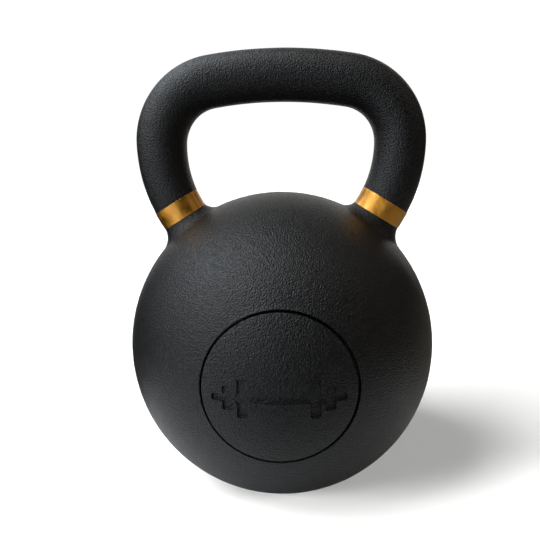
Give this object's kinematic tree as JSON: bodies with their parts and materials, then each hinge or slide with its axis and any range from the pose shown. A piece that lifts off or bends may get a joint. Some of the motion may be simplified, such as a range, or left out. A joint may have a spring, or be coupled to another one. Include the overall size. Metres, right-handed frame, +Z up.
{
  "type": "kettlebell",
  "caption": "Round cast iron kettlebell with a wide arched handle, colour bands at the foot of the horns and a round plate let into the front of the ball.",
  "frame": {"origin": "centre of the flat that the bell stands on", "axes": "+Z up from the floor to the handle, +X along the width of the handle to the right of someone facing the front plate, -Y out of the front plate"},
  "size_m": [0.2299, 0.23, 0.322],
  "materials": {
    "powder_coated_casting": "fine-textured black powder coat, satin",
    "powder_coated_plate": "fine-textured black powder coat, satin",
    "foam_pad": "grey acrylic foam adhesive",
    "gold_film": "metallised gold vinyl film, glossy"
  },
  "bodies": {
    "root": {"bell_casting": "powder_coated_casting", "front_plate": "powder_coated_plate", "plate_adhesive": "foam_pad", "left_band": "gold_film", "right_band": "gold_film"}
  },
  "joints": []
}
